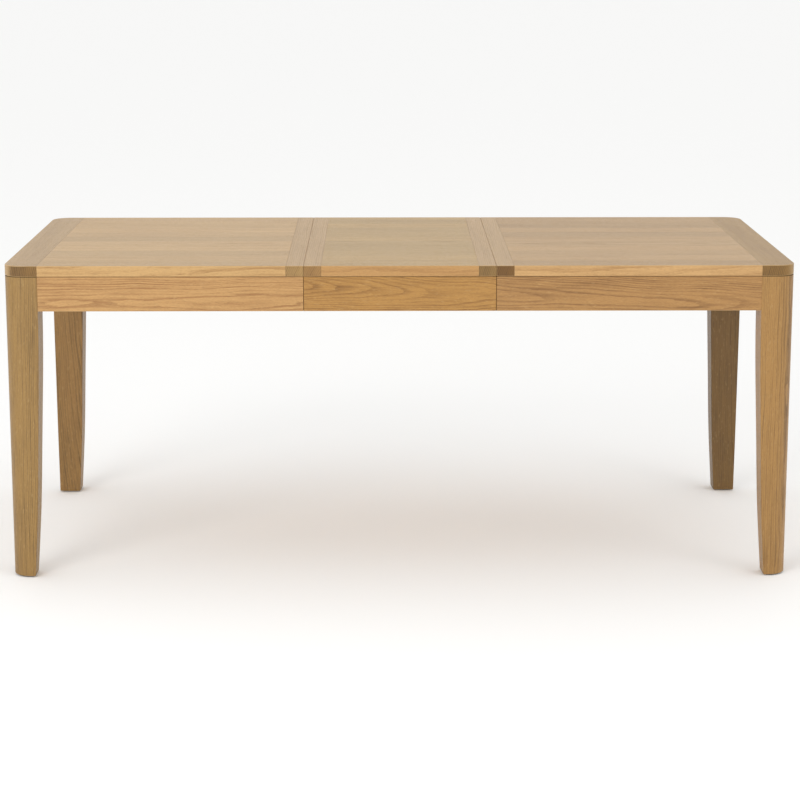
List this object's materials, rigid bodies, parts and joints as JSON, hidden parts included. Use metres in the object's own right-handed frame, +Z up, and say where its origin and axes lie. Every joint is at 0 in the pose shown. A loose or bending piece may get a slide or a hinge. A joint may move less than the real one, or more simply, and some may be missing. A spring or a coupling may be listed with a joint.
{
  "type": "extendable dining table",
  "caption": "Rectangular oak extendable dining table with a loose centre leaf, round corners, flush tapered legs, aprons and geared wooden runners.",
  "frame": {"origin": "on the floor under the middle of the table", "axes": "+X along the table to its right end, +Y from front to back, +Z up; the table stands opened out with its leaf in place"},
  "size_m": [1.85, 0.9, 0.75],
  "materials": {
    "oak_field": "oak, matt oil, grain along the table",
    "oak_end_board": "oak, matt oil, grain across the table",
    "oak_clamp": "oak, matt oil, grain across the table",
    "oak_rail": "oak, matt oil, grain along the rail",
    "oak_leg": "oak, matt oil, upright grain",
    "beech_frame": "planed beech, bare",
    "plate_steel": "zinc plated plate",
    "gear_steel": "milled steel",
    "zinc_fixings": "zinc plated",
    "nylon": "moulded nylon"
  },
  "bodies": {
    "runner_frame": {"centre_runner_front": "beech_frame", "centre_runner_rear": "beech_frame", "centre_tie": "beech_frame", "centre_tie_screws": "zinc_fixings", "pinion_axles": "zinc_fixings"},
    "right_half": {"right_end_board": "oak_end_board", "right_field_panel": "oak_field", "right_clamp_strip": "oak_clamp", "right_front_leg": "oak_leg", "right_rear_leg": "oak_leg", "right_front_apron": "oak_rail", "right_rear_apron": "oak_rail", "right_end_apron": "oak_rail", "right_cross_rail": "beech_frame", "right_corner_blocks": "beech_frame", "right_leg_bolts": "zinc_fixings", "right_runner_front": "beech_frame", "right_runner_rear": "beech_frame", "right_racks": "gear_steel", "right_stop_pins": "zinc_fixings", "right_top_brackets": "plate_steel", "right_screws": "zinc_fixings", "right_catch_mounts": "plate_steel", "right_foot_glides": "nylon"},
    "left_half": {"left_end_board": "oak_end_board", "left_field_panel": "oak_field", "left_clamp_strip": "oak_clamp", "left_front_leg": "oak_leg", "left_rear_leg": "oak_leg", "left_front_apron": "oak_rail", "left_rear_apron": "oak_rail", "left_end_apron": "oak_rail", "left_cross_rail": "beech_frame", "left_corner_blocks": "beech_frame", "left_leg_bolts": "zinc_fixings", "left_runner_front": "beech_frame", "left_runner_rear": "beech_frame", "left_racks": "gear_steel", "left_stop_pins": "zinc_fixings", "left_top_brackets": "plate_steel", "left_screws": "zinc_fixings", "left_catch_mounts": "plate_steel", "left_foot_glides": "nylon"},
    "leaf": {"leaf_field_panel": "oak_field", "leaf_left_clamp": "oak_clamp", "leaf_right_clamp": "oak_clamp", "leaf_front_skirt": "oak_rail", "leaf_rear_skirt": "oak_rail", "leaf_battens": "beech_frame", "leaf_glue_blocks": "beech_frame", "leaf_pads": "nylon", "leaf_catch_keepers": "plate_steel", "leaf_screws": "zinc_fixings"},
    "front_pinion": {"pinion_front": "gear_steel"},
    "rear_pinion": {"pinion_rear": "gear_steel"},
    "right_front_catch_lever": {"right_front_catch": "plate_steel"},
    "right_rear_catch_lever": {"right_rear_catch": "plate_steel"},
    "left_front_catch_lever": {"left_front_catch": "plate_steel"},
    "left_rear_catch_lever": {"left_rear_catch": "plate_steel"}
  },
  "joints": [
    {"name": "right_half_slide", "type": "slide", "parent": "runner_frame", "child": "right_half", "axis": [1, 0, 0], "range_m": [0, 0.03]},
    {"name": "left_half_slide", "type": "slide", "parent": "runner_frame", "child": "left_half", "axis": [-1, 0, 0], "range_m": [0, 0.03]},
    {"name": "front_pinion_spin", "type": "hinge", "parent": "runner_frame", "child": "front_pinion", "pos_m": [0, -0.25, 0.689], "axis": [0, 0, 1], "range_deg": [0, 96]},
    {"name": "rear_pinion_spin", "type": "hinge", "parent": "runner_frame", "child": "rear_pinion", "pos_m": [0, 0.25, 0.689], "axis": [0, 0, 1], "range_deg": [0, 96]},
    {"name": "leaf_lift", "type": "slide", "parent": "runner_frame", "child": "leaf", "axis": [0, 0, 1], "range_m": [0, 0.25]},
    {"name": "right_front_catch_turn", "type": "hinge", "parent": "right_half", "child": "right_front_catch_lever", "pos_m": [0.246, -0.365, 0.7175], "axis": [0, 0, 1], "range_deg": [0, 90]},
    {"name": "right_rear_catch_turn", "type": "hinge", "parent": "right_half", "child": "right_rear_catch_lever", "pos_m": [0.246, 0.365, 0.7175], "axis": [0, 0, -1], "range_deg": [0, 90]},
    {"name": "left_rear_catch_turn", "type": "hinge", "parent": "left_half", "child": "left_rear_catch_lever", "pos_m": [-0.246, 0.365, 0.7175], "axis": [0, 0, 1], "range_deg": [0, 90]},
    {"name": "left_front_catch_turn", "type": "hinge", "parent": "left_half", "child": "left_front_catch_lever", "pos_m": [-0.246, -0.365, 0.7175], "axis": [0, 0, -1], "range_deg": [0, 90]}
  ],
  "couplings": [
    {"joint": "left_half_slide", "follows": "right_half_slide", "ratio": 1},
    {"joint": "front_pinion_spin", "follows": "right_half_slide", "rad_per_m": 55.556},
    {"joint": "rear_pinion_spin", "follows": "right_half_slide", "rad_per_m": 55.556}
  ]
}
